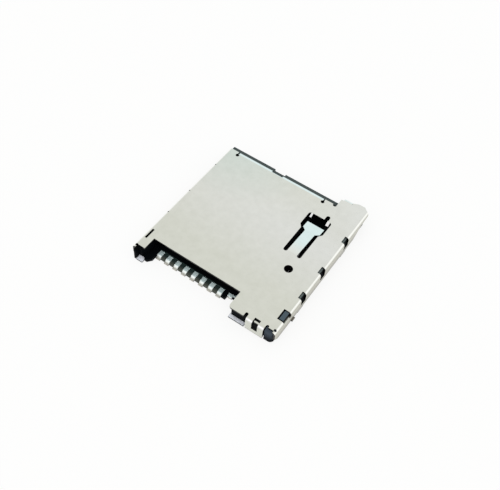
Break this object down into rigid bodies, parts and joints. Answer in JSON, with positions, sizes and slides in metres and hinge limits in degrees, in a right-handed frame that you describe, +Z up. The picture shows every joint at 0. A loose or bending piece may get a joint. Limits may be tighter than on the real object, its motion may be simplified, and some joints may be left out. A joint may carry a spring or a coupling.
{
  "type": "micro sd card socket",
  "caption": "Low surface mount socket for a micro SD card, with a folded sheet shell over a moulded frame, sprung contacts and a push to lock, push to release slider",
  "frame": {"origin": "centre of the bounding box on the board's surface, where the socket's underside lies", "axes": "+Z up from the board, +Y the way the card goes in, +X to the right seen from the mouth"},
  "size_m": [0.0178, 0.0194, 0.0019],
  "materials": {
    "shell_steel": "satin stainless sheet",
    "housing_plastic": "moulded, slightly glossy, near black",
    "contact_metal": "plated, bright grey",
    "foot_metal": "tinned, pale",
    "slider_plastic": "moulded, dark grey",
    "spring_metal": "drawn spring wire and strip"
  },
  "bodies": {
    "frame": {"shell": "shell_steel", "housing": "housing_plastic", "contact_1": "contact_metal", "contact_2": "contact_metal", "contact_3": "contact_metal", "contact_4": "contact_metal", "contact_5": "contact_metal", "contact_6": "contact_metal", "contact_7": "contact_metal", "contact_8": "contact_metal", "detect_contact": "contact_metal", "hold_down_left": "foot_metal", "hold_down_right": "foot_metal", "eject_spring": "spring_metal"},
    "carriage": {"slider": "slider_plastic", "card_lock_spring": "spring_metal"},
    "follower": {"cam_rod": "spring_metal"}
  },
  "joints": [
    {"name": "slider_slide", "type": "slide", "parent": "frame", "child": "carriage", "axis": [0, 1, 0], "range_m": [0, 0.0026], "stiffness_N_per_m": 100, "deforming": ["eject_spring"]},
    {"name": "cam_rod_swing", "type": "hinge", "parent": "frame", "child": "follower", "pos_m": [0.0057, -0.00224, 0], "axis": [0, 0, 1], "range_deg": [-4.2, 0]}
  ],
  "couplings": [
    {"joint": "cam_rod_swing", "follows": "slider_slide", "rad_per_m": -27.5}
  ]
}
